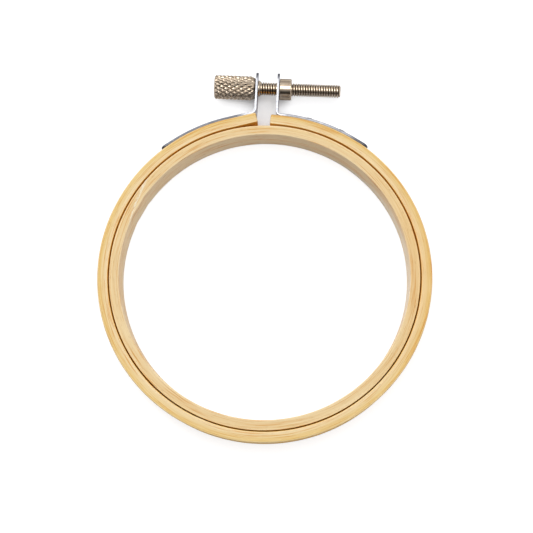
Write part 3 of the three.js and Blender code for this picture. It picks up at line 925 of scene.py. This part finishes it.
def hoop():
    """The finishes, and then the pieces on their bodies."""
    outer_length, inner_length = outer_route()[0], inner_route()[0]
    outer_wood = bamboo(
        "outer_bamboo_grain", OUTER_WALL,
        [(0.0, srgb(250, 220, 164)), (0.2, srgb(243, 216, 167)), (0.5, srgb(238, 209, 150)),
         (0.72, srgb(236, 202, 132)), (0.86, srgb(232, 194, 116)), (1.0, srgb(236, 202, 132))],
        srgb(238, 184, 80), srgb(240, 196, 112), 4.0, warm=(225.0, 45.0), length=outer_length,
        # A painted shadow line under the right bracket's strip, over the last 29 mm of the ring.
        strip_shadow_start=outer_length - 29.0,
    )
    inner_wood = bamboo(
        "inner_bamboo_grain", INNER_WALL,
        [(0.0, srgb(238, 213, 166)), (0.3, srgb(237, 208, 157)), (0.6, srgb(235, 205, 151)),
         (0.8, srgb(238, 208, 154)), (1.0, srgb(246, 216, 162))],
        srgb(251, 225, 184), srgb(234, 178, 72), 19.0, warm=(178.0, 40.0), length=inner_length,
        # Painted light: the inner side washed pale, fading out from 172 mm along the ring.
        painted_wash=(172.0, 45.0), scarf=SCARF_LENGTH,
    )
    # depth is how far the painted shade darkens each plating.
    zinc = plated(
        "zinc_plating", srgb(234, 235, 239), srgb(212, 214, 220), srgb(84, 86, 94),
        depth=0.95, roughness=0.28, lay=0.6,
    )
    nickel = plated(
        "nickel_plating", srgb(232, 214, 191), srgb(211, 191, 166), srgb(76, 61, 44),
        depth=0.85, roughness=0.13, lay=0.5, at_grazing=0.2,
    )

    outer = swept_ring("outer_ring", outer_wood, outer_route(), OUTER_WALL, EDGE_ROUND, False, 3)
    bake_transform(outer)
    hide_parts("outer_ring_left", "outer_ring_right")
    inner = swept_ring(
        "inner_ring_wood", inner_wood, inner_route(), INNER_WALL, SHARP_ROUND, True, 8, shaved_joint,
    )
    belongs(inner, "inner", ["inner_ring"])

    # The last lists are painted shade on each strip's cut edges.
    bracket(
        "left", zinc, LEFT_OPENING, LEFT_FLAT, LEFT_BEND, -1, LEFT_EAR_HOLE, LEFT_BRAD_HEIGHT,
        edge_shade=[(0, 1), (1, 0.85), (4.5, 0.82), (-4, 0.82), (-2.2, 0.5), (-0.5, 0.1)],
    )
    bracket(
        "right", zinc, RIGHT_OPENING, RIGHT_FLAT, RIGHT_BEND, 1, RIGHT_EAR_HOLE, RIGHT_BRAD_HEIGHT,
        edge_shade=[(0, 1), (3, 0.95), (5, 0.8), (7, 0.62), (12, 0.62), (14, 0.52), (17.5, 0.5), (19, 0.62),
                 (-2, 0.6), (-0.01, 0.1)],
    )
    for number, degrees in enumerate(BRAD_ANGLES, 1):
        brad("left", number, zinc, -math.radians(degrees), LEFT_BRAD_HEIGHT)
        brad("right", number, zinc, math.radians(degrees), RIGHT_BRAD_HEIGHT)
    thumb_screw(nickel)
    retaining_collar(nickel)
    clamp_nut(nickel)


# Floor, light and camera


def floor():
    """A wide white sheet just under the hoop, plain white to the camera and dimmer in mirrors, except
    where the hoop shades it closely. To the camera it also has painted shade where it lies hemmed in, as
    between the two ears."""
    paper = Finish("paper", Roughness=0.9)
    paper.shader.inputs["Base Color"].default_value = (0.77, 0.77, 0.79, 1.0)
    glow = paper.node("ShaderNodeEmission", {}, {"Strength": 1.8})
    path = paper.node("ShaderNodeLightPath").socket.node.outputs
    seen = Value(paper, path["Is Camera Ray"])
    mirrored = Value(paper, path["Is Glossy Ray"]) + Value(paper, path["Is Transmission Ray"])
    open_above, open_around = (
        paper.node("ShaderNodeAmbientOcclusion", {"samples": 16}, {"Distance": reach}, output=1)
        for reach in (0.008, 0.015)
    )
    # Painted shade where the floor lies hemmed in.
    lit = seen * open_above.between(0.05, 0.34) * (1 - open_around.between(0.32, 0.21) * 0.65)
    lit = lit + mirrored.math("MINIMUM", 0.3) * open_above.between(0.35, 1.0)
    plain = Value(paper, paper.shader.outputs[0])
    shown = paper.node("ShaderNodeMixShader", {}, {0: lit * 0.4, 1: plain, 2: glow})
    paper.tree.links.new(shown.socket, paper.tree.nodes["Material Output"].inputs["Surface"])
    row, column = np.mgrid[-1:2:2, -1:2:2] * FLOOR_HALF
    corners = np.stack([column, row, row * 0 - FLOOR_DROP], axis=-1)
    shell = Shell()
    shell.grid(corners, np.zeros((2, 2, 3)), close_columns=False)
    shell.object("floor", paper.material, "fibre")


def facing(place, back, up_hint):
    """A placing whose local Z points along back and whose local Y is as near the hint as it can be."""
    z = np.array(back, float) / np.linalg.norm(back)
    x = np.cross(np.array(up_hint, float), z)
    x /= np.linalg.norm(x)
    placed = np.eye(4)
    placed[:3, 0], placed[:3, 1], placed[:3, 2], placed[:3, 3] = x, np.cross(z, x), z, place
    return Matrix(placed.tolist())


def lamp(name, place, size, power, colour=(1, 1, 1)):
    """A square area light that looks at the hoop, given in metres and watts."""
    data = bpy.data.lights.new(name, "AREA")
    data.size = size
    data.energy = power
    data.color = colour
    made = bpy.data.objects.new(name, data)
    bpy.context.scene.collection.objects.link(made)
    made.matrix_world = facing(place, place, (0, 0.6, 0.8))


def world():
    """A soft grey room: palest overhead, dimmer towards the far side and the two ends of the screw, and
    nearly dark in a band a third of the way up from the near side's horizon, turned to the left."""
    made = bpy.data.worlds.new("studio")
    made.use_nodes = True
    room = Nodes(made.node_tree)
    across, near_far, _ = room.parts(room.node("ShaderNodeTexCoord"))
    shades = (
        (0.0, 0.25), (0.035, 0.14), (0.07, 0.03), (0.13, 0.05), (0.2, 0.2), (0.265, 0.36), (0.345, 0.68),
        (0.44, 0.9), (0.6, 1.0), (0.79, 0.95), (0.87, 0.73), (0.94, 0.54), (1.0, 0.45),
    )
    stops = [(position, (shade, shade, shade * 1.02)) for position, shade in shades]
    ends = across.math("ABSOLUTE").between(0.6, 0.95)
    from_near = across * (0.5 * math.sin(ROOM_TURN)) + near_far * (0.5 * math.cos(ROOM_TURN)) + 0.5
    shade = room.mix(ends * 0.6, room.ramp(from_near, stops), (0.1, 0.1, 0.1))
    made.node_tree.links.new(shade.socket, made.node_tree.nodes["Background"].inputs["Color"])
    bpy.context.scene.world = made


def camera():
    """Almost overhead and a little below the hoop in the picture, with the perspective of a long lens."""
    data = bpy.data.cameras.new("camera")
    data.sensor_width = FILM
    data.lens = FILM * FOCAL_PIXELS / PICTURE_PIXELS
    data.clip_start = 0.01
    made = bpy.data.objects.new("camera", data)
    bpy.context.scene.collection.objects.link(made)
    level = math.sin(CAMERA_LEAN)
    back = np.array([level * math.sin(CAMERA_ROUND), -level * math.cos(CAMERA_ROUND), math.cos(CAMERA_LEAN)])
    place = (np.array(LOOKED_AT) + HOOP_CENTRE + CAMERA_DISTANCE * back) * MM
    made.matrix_world = facing(place, back, (0, 1, 0))
    bpy.context.scene.camera = made


hoop()
floor()
world()
lamp("key", place=(-0.5, 0.6, 0.66), size=0.5, power=2.4, colour=(1.0, 0.98, 0.95))
lamp("overhead", place=(0.05, 0.08, 1.0), size=0.55, power=2.2)
camera()
bpy.context.scene.view_settings.view_transform = "Standard"
